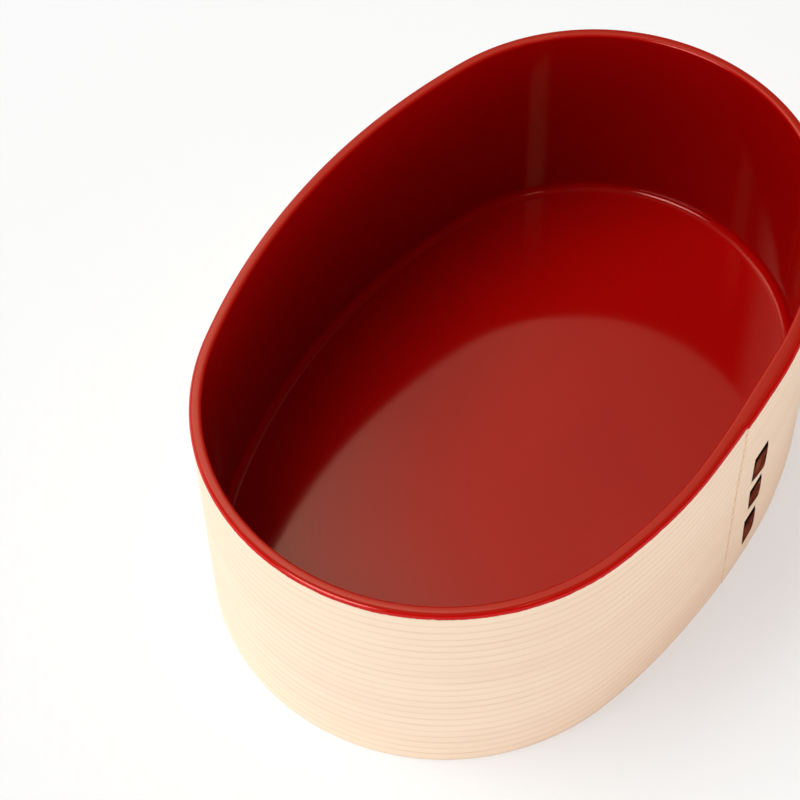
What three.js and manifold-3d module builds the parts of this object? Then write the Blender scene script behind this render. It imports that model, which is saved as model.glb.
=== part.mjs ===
// Bentwood lunch box: a cedar plank bent to an oval, lapped and sewn with a strip of cherry bark,
// with a bottom board let into it, a putty cove round the inside corner, and a red lacquer coat
// over the rim, the inside walls and the floor.
// Millimetres, +Z up. The origin is on the table under the middle of the box, +X runs along its
// length, and the sewn lap is on the -Y side.

import * as THREE from 'three';
import { mergeVertices } from 'three/addons/utils/BufferGeometryUtils.js';
import Module from 'manifold-3d';

const wasm = await Module();
wasm.setup();

// Overall sizes, measured over the lacquer
const length = 180;
const width = 122.4;
const height = 66.5;

// Plan outline: the arc of the long sides, and how far off the middle, towards the fuller end, the
// box is widest
const sideRadius = 165;
const widestFromMiddle = -3;

// Bent side plank
const plankThickness = 2.4;
const rimRound = 1;
const baseBevel = 0.5;

// Lap where the plank's ends meet: its outer end shows as the seam, and it swells behind that
const seamFromMiddle = -4.7;
const lapLength = 42;
const lapTip = 0.5;
const seamStep = 0.2;
const lapSwell = 0.9;
const glueLine = 0.2;

// Bottom board, held up off the table inside the plank
const boardThickness = 5.2;
const boardRecess = 3;
const boardBevel = 0.4;
const boardFit = 0.1;

// Lacquer coat and the putty cove under it
const coatThickness = 0.25;
const coatGap = 0.05;
const coatWrap = 1.35;
const coveRadius = 2;
const coveFit = 0.1;

// Bark lacing through the lap: the spans of the strip that show, from the lowest up
const barkWidth = 5.4;
const barkThickness = 0.6;
const lacingFromMiddle = 5.6;
const lowestStitchHead = 19.2;
const stitchPitch = 12.7;
const stitchSpans = [12, 9.2, 10.4];
const barkSink = 0.15;
const barkDip = 1.3;
const barkCover = 0.1;
const barkTail = 4;
const barkClearance = 0.12;

// Mesh fineness and the reach of every cutter past what it cuts
const turnSteps = 120;
const arcSteps = 3;
const lapSteps = 10;
const halvings = 48;
const overrun = 1;

const fullTurn = 2 * Math.PI;
const nudge = 1e-4;
const coatDepth = coatGap + coatThickness;
const rimTop = height - coatDepth;
const boardTop = boardRecess + boardThickness;
const floorTop = boardTop + coatDepth;
const halfLength = length / 2 - coatDepth;
const halfWidth = width / 2 - coatDepth;
const rimFillet = Math.min(rimRound, plankThickness / 2);

// Plan outline

const sideCentre = sideRadius - halfWidth;

/** The arc round the +X end (side 1) or the -X end (side -1), which runs smoothly into the sides. */
function endArc(side) {
  const toEnd = halfLength - side * widestFromMiddle;
  const radius = (sideRadius ** 2 - toEnd ** 2 - sideCentre ** 2) / (2 * (sideRadius - toEnd));
  const centre = toEnd - radius;
  return { radius, centre, joint: Math.atan2(sideCentre, centre) };
}

const endArcs = { right: endArc(1), left: endArc(-1) };

/** How far the plank's outer face stands from the origin, square to the face that looks at turn. */
function reach(turn) {
  const { radius, centre, joint } = Math.cos(turn) > 0 ? endArcs.right : endArcs.left;
  const lengthwise = Math.abs(Math.cos(turn));
  const crosswise = Math.abs(Math.sin(turn));
  const isEnd = Math.atan2(crosswise, lengthwise) < joint;
  const fromWidest = isEnd ? radius + centre * lengthwise : sideRadius - sideCentre * crosswise;
  return fromWidest + widestFromMiddle * Math.cos(turn);
}

function reachSlope(turn) {
  return (reach(turn + nudge) - reach(turn - nudge)) / (2 * nudge);
}

/** Point of the outline where the wall looks at turn, moved out square to the wall. */
function wallPoint(turn, out) {
  const normal = new THREE.Vector2(Math.cos(turn), Math.sin(turn));
  const along = new THREE.Vector2(-normal.y, normal.x);
  return normal.multiplyScalar(reach(turn) + out).addScaledVector(along, reachSlope(turn));
}

/** The turn of the front wall at a distance x from the middle, found by halving. */
function frontTurn(x) {
  let low = -Math.PI;
  let high = 0;
  for (let step = 0; step < halvings; step += 1) {
    const middle = (low + high) / 2;
    if (wallPoint(middle, 0).x < x) low = middle;
    else high = middle;
  }
  return (low + high) / 2;
}

const seamStart = frontTurn(seamFromMiddle - glueLine / 2);
const seamEnd = frontTurn(seamFromMiddle + glueLine / 2);
const lapEnd = frontTurn(seamFromMiddle + lapLength);

/** Turns at which every section is placed: even steps, and both sides of the seam. */
function makeStations() {
  const turns = [seamStart, seamEnd];
  for (let step = 0; step < turnSteps; step += 1) {
    turns.push(-Math.PI + (fullTurn * step) / turnSteps);
  }
  return turns.sort((one, other) => one - other);
}

const stations = makeStations();

/** How far the lap stands proud of the plank at a turn: a step at the seam, then a low swell. */
function lapProud(turn) {
  if (turn < seamEnd || turn > lapEnd) return 0;
  const along = (turn - seamEnd) / (lapEnd - seamEnd);
  return seamStep * (1 - along) + lapSwell * Math.sin(Math.PI * along);
}

/** A section's point placed at a turn, with the section stretched outwards over the lap. */
function sectionPoint(turn, [out, z]) {
  const stretch = lapProud(turn) * Math.max(0, 1 + out / plankThickness);
  const point = wallPoint(turn, out + stretch);
  return [point.x, point.y, z];
}

// Solids

function meshFrom(positions, indices) {
  const geometry = new THREE.BufferGeometry();
  geometry.setAttribute('position', new THREE.Float32BufferAttribute(positions.flat(), 3));
  geometry.setIndex(indices);
  return geometry;
}

/** Points of a round, from one angle to another in degrees, in a section's out and z. */
function round(centreOut, centreZ, radius, from, to) {
  return Array.from({ length: arcSteps + 1 }, (_, step) => {
    const angle = THREE.MathUtils.degToRad(from + ((to - from) * step) / arcSteps);
    return [centreOut + radius * Math.cos(angle), centreZ + radius * Math.sin(angle)];
  });
}

/** Sweeps a section round the outline. One that isn't a ring's is carried on to the middle at both ends. */
function sweep(section, isRing) {
  const positions = stations.flatMap((turn) => section.map((point) => sectionPoint(turn, point)));
  const count = section.length;
  const indices = [];
  for (let here = 0; here < stations.length; here += 1) {
    const next = (here + 1) % stations.length;
    for (let point = 0; point < (isRing ? count : count - 1); point += 1) {
      const far = (point + 1) % count;
      indices.push(here * count + point, next * count + point, next * count + far);
      indices.push(here * count + point, next * count + far, here * count + far);
    }
    if (!isRing) {
      const under = stations.length * count;
      indices.push(under, next * count, here * count);
      indices.push(under + 1, here * count + count - 1, next * count + count - 1);
    }
  }
  if (!isRing) positions.push([0, 0, section[0][1]], [0, 0, section[count - 1][1]]);
  return meshFrom(positions, indices);
}

function toSolid(geometry) {
  const bare = geometry.clone();
  bare.deleteAttribute('normal');
  bare.deleteAttribute('uv');
  const merged = mergeVertices(bare);
  return new wasm.Manifold(new wasm.Mesh({
    numProp: 3,
    vertProperties: merged.attributes.position.array,
    triVerts: Uint32Array.from(merged.index.array),
  }));
}

function toGeometry(solid) {
  const mesh = solid.getMesh();
  const geometry = new THREE.BufferGeometry();
  geometry.setAttribute('position', new THREE.Float32BufferAttribute(mesh.vertProperties, 3));
  geometry.setIndex(Array.from(mesh.triVerts));
  return geometry;
}

/** The outline of a strip of even thickness laid along a line of points, its corners mitred. */
function stripOutline(line, thickness) {
  const leftSide = [];
  const rightSide = [];
  line.forEach((point, index) => {
    const before = line[Math.max(index - 1, 0)];
    const after = line[Math.min(index + 1, line.length - 1)];
    const incoming = (index === 0 ? after.clone().sub(point) : point.clone().sub(before)).normalize();
    const outgoing = (index === line.length - 1 ? incoming : after.clone().sub(point)).clone().normalize();
    const bisector = incoming.clone().add(outgoing).normalize();
    const reachOut = thickness / 2 / bisector.dot(incoming);
    const side = new THREE.Vector2(-bisector.y, bisector.x).multiplyScalar(reachOut);
    leftSide.push(point.clone().add(side));
    rightSide.unshift(point.clone().sub(side));
  });
  return [...leftSide, ...rightSide];
}

function extrude(outline, depth) {
  const shape = new THREE.Shape(outline);
  return new THREE.ExtrudeGeometry(shape, { depth, bevelEnabled: false });
}

// Bent side plank with its lap

function plankSection() {
  const top = rimTop - rimFillet;
  return [
    [-plankThickness + baseBevel, 0],
    [-baseBevel, 0],
    [0, baseBevel],
    ...round(-rimFillet, top, rimFillet, 0, 90),
    ...round(-plankThickness + rimFillet, top, rimFillet, 90, 180),
    [-plankThickness, baseBevel],
  ];
}

/** The glue line between the plank's two feathered ends, as a thin upright sheet to cut away. */
function glueLineCutter() {
  const outerTip = -lapTip;
  const innerTip = -plankThickness + lapTip;
  const line = [[0, seamStep + overrun], [0, outerTip]];
  for (let step = 1; step <= lapSteps; step += 1) {
    line.push([(lapLength * step) / lapSteps, outerTip + ((innerTip - outerTip) * step) / lapSteps]);
  }
  line.push([lapLength, -plankThickness - overrun]);
  const flat = stripOutline(line.map(([along, out]) => new THREE.Vector2(along, out)), glueLine);
  const bent = flat.map(({ x, y }) => wallPoint(frontTurn(seamFromMiddle + x), y));
  const sheet = extrude(bent, rimTop + 2 * overrun);
  sheet.translate(0, 0, -overrun);
  return toSolid(sheet);
}

// Bark lacing

const lacingTurn = frontTurn(lacingFromMiddle);
const lacingProud = lapProud(lacingTurn);
const showDepth = lacingProud - barkSink - barkThickness / 2;
const hideDepth = -plankThickness + barkCover + barkThickness / 2;

const stitchHead = (index) => lowestStitchHead + index * stitchPitch;
const stitchFoot = (index) => stitchHead(index) - stitchSpans[index];

/** The strip's path in depth and height: out through a slit, up the face and in again, three times. */
function lacingLine() {
  const line = [];
  stitchSpans.forEach((_, index) => {
    line.push([hideDepth, stitchFoot(index) - barkThickness / 2]);
    line.push([showDepth, stitchFoot(index) + barkDip]);
    line.push([showDepth, stitchHead(index) - barkDip]);
    line.push([hideDepth, stitchHead(index) + barkThickness / 2]);
  });
  line.push([hideDepth, line[line.length - 1][1] + barkTail]);
  return line.map(([out, z]) => new THREE.Vector2(out, z));
}

/** Turns a shape drawn in depth and height into a solid of a given width, set into the lap. */
function setIntoLap(outline, across) {
  const geometry = extrude(outline, across);
  const normal = new THREE.Vector3(Math.cos(lacingTurn), Math.sin(lacingTurn), 0);
  const up = new THREE.Vector3(0, 0, 1);
  const sideways = normal.clone().cross(up);
  const seat = wallPoint(lacingTurn, 0);
  const placed = new THREE.Matrix4().makeBasis(normal, up, sideways);
  placed.setPosition(seat.x, seat.y, 0);
  geometry.translate(0, 0, -across / 2);
  geometry.applyMatrix4(placed);
  return geometry;
}

function rectangle(fromOut, toOut, fromZ, toZ) {
  return [[fromOut, fromZ], [toOut, fromZ], [toOut, toZ], [fromOut, toZ]]
    .map(([out, z]) => new THREE.Vector2(out, z));
}

/** Everything the lacing needs cut out of the lap: its slits, the beds that show and those behind. */
function lacingCutter() {
  const across = barkWidth + 2 * barkClearance;
  const line = lacingLine();
  const shapes = [stripOutline(line, barkThickness + 2 * barkClearance)];
  stitchSpans.forEach((_, index) => {
    const start = line[4 * index + 1];
    const end = line[4 * index + 2];
    shapes.push(rectangle(showDepth, lacingProud + overrun, start.y, end.y));
    const behind = line[4 * index + 3];
    const above = line[4 * index + 4];
    shapes.push(rectangle(-plankThickness - overrun, hideDepth, behind.y, above.y));
  });
  return shapes
    .map((shape) => toSolid(setIntoLap(shape, across)))
    .reduce((joined, solid) => joined.add(solid));
}

// Bottom board, putty cove and lacquer coat

function boardSection() {
  const edge = -plankThickness - boardFit;
  return [
    [edge - boardBevel, boardRecess],
    [edge, boardRecess + boardBevel],
    [edge, boardTop],
  ];
}

const coveCentreOut = -plankThickness - coatDepth - coveRadius;
const coveCentreZ = floorTop + coveRadius;

function coveSection() {
  const radius = coveRadius + coatDepth;
  const toe = THREE.MathUtils.radToDeg(Math.acos((radius - coveFit) / radius));
  return [
    ...round(coveCentreOut, coveCentreZ, radius, -toe, -90 + toe),
    [-plankThickness - coveFit, boardTop + coveFit],
  ];
}

/** The coat's section: its hidden side from the middle of the floor to the outside, and back. */
function coatSection() {
  const top = rimTop - rimFillet;
  const innerOut = -plankThickness + rimFillet;
  const skin = (depth, isHidden) => {
    const points = [
      ...round(coveCentreOut, coveCentreZ, coveRadius + coatDepth - depth, -90, 0),
      ...round(innerOut, top, rimFillet + depth, 180, 90),
      ...round(-rimFillet, top, rimFillet + depth, 90, 0),
      [depth, height - coatWrap],
    ];
    return isHidden ? points : points.reverse();
  };
  return [...skin(coatGap, true), ...skin(coatDepth, false)];
}

// Materials and the finished box

const finish = (color, roughness) => new THREE.MeshStandardMaterial({ color, roughness, metalness: 0 });
const cedar = finish(0xf3dfc0, 0.6);
const bark = finish(0x5c2f24, 0.45);
const putty = finish(0x6b4a35, 0.8);
const lacquer = finish(0xa81610, 0.15);

const lunchBox = new THREE.Group();

function addPiece(name, geometry, material) {
  const mesh = new THREE.Mesh(geometry, material);
  mesh.name = name;
  lunchBox.add(mesh);
}

const sideBand = toSolid(sweep(plankSection(), true)).subtract(glueLineCutter()).subtract(lacingCutter());

addPiece('side_band', toGeometry(sideBand), cedar);
addPiece('bottom_board', sweep(boardSection(), false), cedar);
addPiece('bark_lacing', setIntoLap(stripOutline(lacingLine(), barkThickness), barkWidth), bark);
addPiece('corner_putty', sweep(coveSection(), true), putty);
addPiece('red_lacquer', sweep(coatSection(), false), lacquer);

export default lunchBox;
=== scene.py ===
"""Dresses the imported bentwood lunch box: cedar band, bark lacing, bottom board and red lacquer.

Metres, +Z up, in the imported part's own frame: the origin is on the table under the middle of the
box, +X runs along its length, and the sewn lap is on the -Y side.
"""

import logging
import math
from collections.abc import Callable
from dataclasses import dataclass
from enum import Enum
from functools import cached_property

import bmesh
import bpy
from mathutils import Matrix, Vector, noise


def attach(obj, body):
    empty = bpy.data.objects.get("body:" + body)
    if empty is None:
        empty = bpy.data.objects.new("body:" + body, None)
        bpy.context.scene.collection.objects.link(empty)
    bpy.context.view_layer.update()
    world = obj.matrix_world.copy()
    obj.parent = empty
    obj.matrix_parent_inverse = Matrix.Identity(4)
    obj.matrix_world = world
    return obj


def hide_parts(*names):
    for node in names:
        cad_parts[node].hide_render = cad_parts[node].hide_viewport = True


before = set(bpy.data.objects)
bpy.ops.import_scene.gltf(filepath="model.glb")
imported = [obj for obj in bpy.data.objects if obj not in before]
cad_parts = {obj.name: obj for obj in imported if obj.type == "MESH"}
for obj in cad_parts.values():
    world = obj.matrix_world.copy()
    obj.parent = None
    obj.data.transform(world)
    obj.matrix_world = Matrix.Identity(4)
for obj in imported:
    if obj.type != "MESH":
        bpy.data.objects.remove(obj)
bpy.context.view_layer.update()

MM = 0.001
FULL_TURN = 2 * math.pi
UP = Vector((0, 0, 1))
MERGE = 0.0005 * MM
WELD = 20 * MERGE
TURN_SLACK = 1e-9
JOINT_SLACK = 1e-7
BRUSHED_LIT_EDGE = "brushed_and_lit_edge"
SLIT_SHADE_MASK = "painted_slit_shade"

Pair = tuple[float, float]
Triple = tuple[float, float, float]
Colour = tuple[float, float, float, float]
Profile = list[Pair]

log = logging.getLogger("lunch_box")


class Slot(Enum):
    """The record's material slots."""

    CEDAR = "cedar"
    BARK = "cherry_bark"
    PUTTY = "putty"
    LACQUER = "red_lacquer"


# Plan outline


def smooth(share: float) -> float:
    """Eases a share between 0 and 1 in and out."""
    return share * share * (3 - 2 * share)


@dataclass(frozen=True)
class Arc:
    """One arc of the plan outline, at the plank's outer face."""

    centre_x: float
    centre_y: float
    radius: float
    start: float
    end: float

    @property
    def length(self) -> float:
        """Length of the arc."""
        return self.radius * (self.end - self.start)


@dataclass(frozen=True)
class Oval:
    """The plan outline of the plank's outer face: four arcs that run smoothly into each other."""

    half_length: float = 89.7 * MM
    half_width: float = 60.9 * MM
    side_radius: float = 165 * MM
    widest: float = -3 * MM
    seam_x: float = -4.7 * MM
    groove: float = 0.09 * MM
    batch: int = 24

    @cached_property
    def side_centre(self) -> float:
        """Distance from the middle to the centre of a long side's arc."""
        return self.side_radius - self.half_width

    @cached_property
    def seam(self) -> float:
        """The turn at which the plank's outer end shows as the seam."""
        return FULL_TURN - math.acos((self.seam_x - self.widest) / self.side_radius)

    def end(self, side: int) -> Triple:
        """Finds the arc round one end.

        Args:
            side: 1 for the +X end, -1 for the -X end.

        Returns:
            The arc's radius, its centre along X, and half the angle that it covers.
        """
        to_end = self.half_length - side * self.widest
        square = self.side_radius**2 - to_end**2 - self.side_centre**2
        radius = square / (2 * (self.side_radius - to_end))
        centre = to_end - radius
        return radius, side * centre + self.widest, math.atan2(self.side_centre, centre)

    @cached_property
    def arcs(self) -> list[Arc]:
        """Goes round the outline from the seam to the seam.

        Returns:
            The arcs in order, with a short one on each side of the seam for its groove.
        """
        right_radius, right_x, right = self.end(1)
        left_radius, left_x, left = self.end(-1)
        lip = self.groove / self.side_radius
        seam = self.seam
        rows = [
            (self.widest, self.side_centre, self.side_radius, lip),
            (self.widest, self.side_centre, self.side_radius, FULL_TURN - right - seam - lip),
            (right_x, 0.0, right_radius, 2 * right),
            (self.widest, -self.side_centre, self.side_radius, math.pi - right - left),
            (left_x, 0.0, left_radius, 2 * left),
            (self.widest, self.side_centre, self.side_radius, seam - math.pi - left - lip),
            (self.widest, self.side_centre, self.side_radius, lip),
        ]
        arcs = []
        turn = seam
        for centre_x, centre_y, radius, angle in rows:
            arcs.append(Arc(centre_x, centre_y, radius, turn, turn + angle))
            turn += angle
        return arcs

    @cached_property
    def perimeter(self) -> float:
        """Length of the whole outline."""
        return sum(arc.length for arc in self.arcs)

    def locate(self, x: float, y: float) -> Pair:
        """Finds where a point lies against the outline.

        Args:
            x: The point's place along the box.
            y: The point's place across the box.

        Returns:
            The turn of the wall beside the point, counted on from the seam, and how far the point
            lies outside the plank's outer face.
        """
        best = (self.seam, math.inf)
        for arc in self.arcs:
            angle = math.atan2(y - arc.centre_y, x - arc.centre_x)
            angle += FULL_TURN * math.ceil((arc.start - angle) / FULL_TURN - TURN_SLACK)
            out = math.hypot(x - arc.centre_x, y - arc.centre_y) - arc.radius
            if angle <= arc.end + JOINT_SLACK and abs(out) < abs(best[1]):
                best = (angle, out)
        return best

    def point(self, turn: float, out: float, z: float) -> Vector:
        """Finds the point beside the wall.

        Args:
            turn: The turn of the wall beside the point.
            out: How far the point lies outside the plank's outer face.
            z: The height.

        Returns:
            The point.
        """
        turn = self.seam + (turn - self.seam) % FULL_TURN
        for arc in self.arcs:
            if turn <= arc.end + TURN_SLACK:
                break
        reach = arc.radius + out
        x = arc.centre_x + reach * math.cos(turn)
        y = arc.centre_y + reach * math.sin(turn)
        return Vector((x, y, z))

    def along(self, turn: float) -> float:
        """Gives the way round the outer face from the seam to a turn."""
        return sum(arc.radius * max(0.0, min(turn, arc.end) - arc.start) for arc in self.arcs)

    def sweep(self, bm: bmesh.types.BMesh, profile: Profile, pitch: float, is_ring: bool) -> None:
        """Sweeps a section round the whole outline.

        Args:
            bm: The mesh that takes the result.
            profile: The section's points, each its distance outside the outer face and its height.
            pitch: The step along the outer face.
            is_ring: Whether the section's last point joins its first.
        """
        stretch = bpy.data.meshes.new("stretch")
        for arc in self.arcs:
            steps = max(1, round(arc.length / pitch))
            step_angle = (arc.end - arc.start) / steps
            for first in range(0, steps, self.batch):
                count = min(self.batch, steps - first)
                part = bmesh.new()
                start = arc.start + first * step_angle
                verts = [part.verts.new(self.point(start, out, z)) for out, z in profile]
                pairs = list(zip(verts, verts[1:]))
                if is_ring:
                    pairs.append((verts[-1], verts[0]))
                bmesh.ops.spin(
                    part,
                    geom=verts + [part.edges.new(pair) for pair in pairs],
                    cent=(arc.centre_x, arc.centre_y, 0),
                    axis=UP,
                    dvec=(0, 0, 0),
                    angle=count * step_angle,
                    steps=count,
                    use_merge=False,
                    use_duplicate=False,
                )
                part.to_mesh(stretch)
                part.free()
                bm.from_mesh(stretch)
        bpy.data.meshes.remove(stretch)
        bmesh.ops.remove_doubles(bm, verts=bm.verts, dist=WELD)


@dataclass(frozen=True)
class Lap:
    """How the plank's outer end lies over its inner one, and how both faces stray beside the seam.

    Each row of strays gives, in millimetres, a way past the seam and how far the outer face at the
    rim, the inner face at the rim and the outer face at the foot stand outside the drawn outline.
    The lean values give how the seam's line drifts along the box at its foot and its top.
    """

    oval: Oval
    plank: float = 2.4 * MM
    length: float = 42 * MM
    step: float = 0.4 * MM
    foot_step: float = 0.12 * MM
    groove_depth: float = 0.22 * MM
    rim: float = 66 * MM
    floor: float = 8.5 * MM
    strays: tuple[tuple[float, float, float, float], ...] = (
        (-120, 0.0, 0.0, 0.0),
        (-85, -0.05, 0.0, -0.05),
        (-60, 0.2, 0.1, -0.15),
        (-34, 0.45, 0.2, 0.1),
        (-20, 0.28, 0.0, 0.16),
        (-10, -0.16, -0.5, 0.28),
        (-2, -0.33, -0.85, 0.48),
        (3, -0.27, -1.0, 0.58),
        (10, -0.09, -1.1, 0.85),
        (20, 0.52, -0.7, 1.35),
        (28, 0.81, -0.1, 1.6),
        (42, 0.9, 0.3, 1.6),
        (65, 0.5, 0.2, 0.9),
        (95, 0.0, 0.0, 0.0),
    )
    lean_reach: float = 9 * MM
    lean_foot: float = -0.3 * MM
    lean_top: float = 0.7 * MM
    lean_low: float = 27 * MM
    lean_high: float = 42 * MM
    lean_rise: float = 0.3
    lean_wave: float = 0.12 * MM
    lean_wave_length: float = 2.6 * MM
    chart_rounds: int = 4

    def past(self, turn: float) -> float:
        """Gives the way round from the seam to a turn, below zero on the side before the seam."""
        way = self.oval.along(turn)
        return way if way < self.oval.perimeter / 2 else way - self.oval.perimeter

    def proud(self, past: float, z: float, ease: float) -> float:
        """Gives how far the outer end's face stands proud of the plank.

        Args:
            past: The way past the seam.
            z: The height.
            ease: The way over which a film spread over the step levels it out before the seam.

        Returns:
            The distance.
        """
        start = past - 0.5 * self.oval.groove
        if start < -ease:
            return 0.0
        risen = min(1.0, (start + ease) / ease) if ease else 1.0
        step = self.foot_step + (self.step - self.foot_step) * z / self.rim
        return smooth(risen) * step * min(1.0, max(0.0, 1 - past / self.length))

    def stray(self, past: float) -> Triple:
        """Finds how far the faces stray, on a smooth curve through the rows.

        Args:
            past: The way past the seam.

        Returns:
            The strays of the outer face at the rim, the inner face at the rim and the outer face at
            the foot.
        """
        rows = self.strays
        at = past / MM
        if not rows[0][0] < at < rows[-1][0]:
            return 0.0, 0.0, 0.0
        index = next(index for index in range(1, len(rows)) if at < rows[index][0])
        before, start, end, after = (
            rows[min(max(near, 0), len(rows) - 1)] for near in range(index - 2, index + 2)
        )
        reach = end[0] - start[0]
        share = (at - start[0]) / reach
        square, cube = share * share, share**3
        values = []
        for column in (1, 2, 3):
            leave = reach * (end[column] - before[column]) / (end[0] - before[0])
            arrive = reach * (after[column] - start[column]) / (after[0] - start[0])
            values.append(
                start[column] * (2 * cube - 3 * square + 1)
                + leave * (cube - 2 * square + share)
                + end[column] * (3 * square - 2 * cube)
                + arrive * (cube - square)
            )
        return tuple(value * MM for value in values)

    def face(self, past: float, z: float, ease: float = 0.0) -> float:
        """Finds where the outer face lies.

        Args:
            past: The way past the seam.
            z: The height.
            ease: The way over which a film levels the seam's step, or 0 for the bare plank.

        Returns:
            How far the face stands outside the drawn outline.
        """
        rim, _, foot = self.stray(past)
        return foot + (rim - foot) * z / self.rim + self.proud(past, z, ease)

    def lean(self, turn: float, z: float) -> float:
        """Finds how far the seam's line has drifted, fading to both sides of it.

        Args:
            turn: The turn of the wall.
            z: The height.

        Returns:
            The drift, as an angle.
        """
        near = min(abs(turn - self.oval.seam), abs(self.oval.seam + FULL_TURN - turn))
        share = 1 - near * self.oval.side_radius / self.lean_reach
        if share <= 0:
            return 0.0
        low = min(1.0, max(0.0, 1 - z / self.lean_low))
        high = min(1.0, max(0.0, (z - self.lean_high) / (self.lean_rise * self.lean_high)))
        drift = self.lean_foot * low + self.lean_top * smooth(high)
        drift += self.lean_wave * noise.noise(Vector((0, 0, z / self.lean_wave_length)))
        return smooth(share) * drift / self.oval.side_radius

    def place(self, co: Vector, ease: float = 0.0) -> Vector:
        """Moves a swept point to where the lap puts it.

        Args:
            co: The point as swept.
            ease: The way over which a film levels the seam's step, or 0 for the bare plank, in
                which the seam is a fine groove.

        Returns:
            The point's new place.
        """
        turn, out = self.oval.locate(co.x, co.y)
        turn = self.oval.seam + (turn - self.oval.seam) % FULL_TURN
        past = self.past(turn)
        risen = min(1.0, max(0.0, co.z - self.floor) / (self.rim - self.floor))
        inner = self.stray(past)[1] * risen
        share = max(0.0, 1 + out / self.plank)
        moved = out + inner + (self.face(past, co.z, ease) - inner) * share
        if not ease and abs(past) < 0.5 * self.oval.groove and out > -self.plank / 2:
            moved -= self.groove_depth
        return self.oval.point(turn + self.lean(turn, co.z), moved, co.z)

    def chart(self, co: Vector) -> Pair:
        """Finds a placed point's place on the plank, with the seam's lean taken out.

        Args:
            co: The point.

        Returns:
            The turn of the wall, counted on from the seam, and the height.
        """
        turn, _ = self.oval.locate(co.x, co.y)
        straight = turn
        for _ in range(self.chart_rounds):
            straight = turn - self.lean(straight, co.z)
        return straight, co.z


OVAL = Oval()
LAP = Lap(OVAL)


def arc_points(
    centre: Pair, radii: Pair, start: float, end: float, steps: int
) -> Profile:
    """Lists the points of a rounded corner of a section.

    Args:
        centre: The corner's centre, outwards and up.
        radii: The corner's two radii, outwards and up.
        start: The first point's angle in degrees.
        end: The last point's angle in degrees.
        steps: The number of steps between them.

    Returns:
        The points in order.
    """
    angles = [math.radians(start + (end - start) * step / steps) for step in range(steps + 1)]
    return [
        (centre[0] + radii[0] * math.cos(angle), centre[1] + radii[1] * math.sin(angle))
        for angle in angles
    ]


# Nodes


class NodeBench:
    """Adds nodes to one tree and joins them."""

    def __init__(self, tree: bpy.types.NodeTree) -> None:
        """Takes the tree to work on."""
        self.tree = tree

    def feed(self, socket: bpy.types.NodeSocket, value: object) -> None:
        """Links a socket into another, or sets its value.

        Args:
            socket: The socket that takes it.
            value: The socket that gives it, or the value.
        """
        if isinstance(value, bpy.types.NodeSocket):
            self.tree.links.new(value, socket)
        else:
            socket.default_value = value

    def add(self, kind: str, inputs: dict | None = None, **settings: object) -> bpy.types.Node:
        """Adds a node.

        Args:
            kind: The node's type name.
            inputs: What each named or numbered input is given.
            **settings: The node's own settings.

        Returns:
            The node.
        """
        node = self.tree.nodes.new(kind)
        for name, value in settings.items():
            setattr(node, name, value)
        for name, value in (inputs or {}).items():
            self.feed(node.inputs[name], value)
        return node

    def sum(self, operation: str, *values: object) -> bpy.types.NodeSocket:
        """Adds a Math node over one to three values and gives its result."""
        return self.add("ShaderNodeMath", dict(enumerate(values)), operation=operation).outputs[0]

    def spread(
        self, value: object, low: object, high: object, to: Pair = (0.0, 1.0)
    ) -> bpy.types.NodeSocket:
        """Maps a value smoothly from one range to another, held at its ends.

        Args:
            value: The value.
            low: The value that gives the first result.
            high: The value that gives the last result.
            to: The first and last result.

        Returns:
            The mapped value.
        """
        inputs = {0: value, 1: low, 2: high, 3: to[0], 4: to[1]}
        node = self.add("ShaderNodeMapRange", inputs, interpolation_type="SMOOTHSTEP")
        return node.outputs[0]

    def blend(self, share: object, first: object, second: object) -> bpy.types.NodeSocket:
        """Mixes two colours.

        Args:
            share: How much of the second colour the result has.
            first: The first colour.
            second: The second colour.

        Returns:
            The mixed colour.
        """
        node = self.add("ShaderNodeMix", data_type="RGBA", blend_type="MIX", clamp_factor=True)
        for index, value in ((0, share), (6, first), (7, second)):
            self.feed(node.inputs[index], value)
        return node.outputs[2]

    def vector(self, x: object, y: object, z: object) -> bpy.types.NodeSocket:
        """Joins three values into a vector."""
        return self.add("ShaderNodeCombineXYZ", {0: x, 1: y, 2: z}).outputs[0]

    def split(self, vector: bpy.types.NodeSocket) -> tuple[bpy.types.NodeSocket, ...]:
        """Splits a vector into its three values."""
        return tuple(self.add("ShaderNodeSeparateXYZ", {0: vector}).outputs)

    def scaled(
        self, x: object, x_scale: float, y: object, y_scale: float, z: object
    ) -> bpy.types.NodeSocket:
        """Joins three values into a vector, the first two each times its own scale.

        Args:
            x: The first value.
            x_scale: Its scale.
            y: The second value.
            y_scale: Its scale.
            z: The third value.

        Returns:
            The vector.
        """
        across = self.sum("MULTIPLY", x, x_scale)
        return self.vector(across, self.sum("MULTIPLY", y, y_scale), z)

    def bump(self, strength: float, distance: float, height: object) -> bpy.types.NodeSocket:
        """Adds a Bump node and gives its normal."""
        inputs = {"Strength": strength, "Distance": distance, "Height": height}
        return self.add("ShaderNodeBump", inputs).outputs["Normal"]

    def dot(self, vector: object, way: Triple) -> bpy.types.NodeSocket:
        """Finds how far a vector points along a direction.

        Args:
            vector: The vector.
            way: The direction.

        Returns:
            The value.
        """
        inputs = {0: vector, 1: way}
        node = self.add("ShaderNodeVectorMath", inputs, operation="DOT_PRODUCT")
        return node.outputs["Value"]

    def noise(
        self, vector: object, scale: object, detail: float = 2.0, rough: float = 0.5
    ) -> bpy.types.NodeSocket:
        """Adds a noise texture.

        Args:
            vector: Where it is read.
            scale: How many patches it has to the unit.
            detail: How many finer layers it has.
            rough: How strong the finer layers are.

        Returns:
            Its value.
        """
        inputs = {"Vector": vector, "Scale": scale, "Detail": detail, "Roughness": rough}
        return self.add("ShaderNodeTexNoise", inputs).outputs["Fac"]


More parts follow.
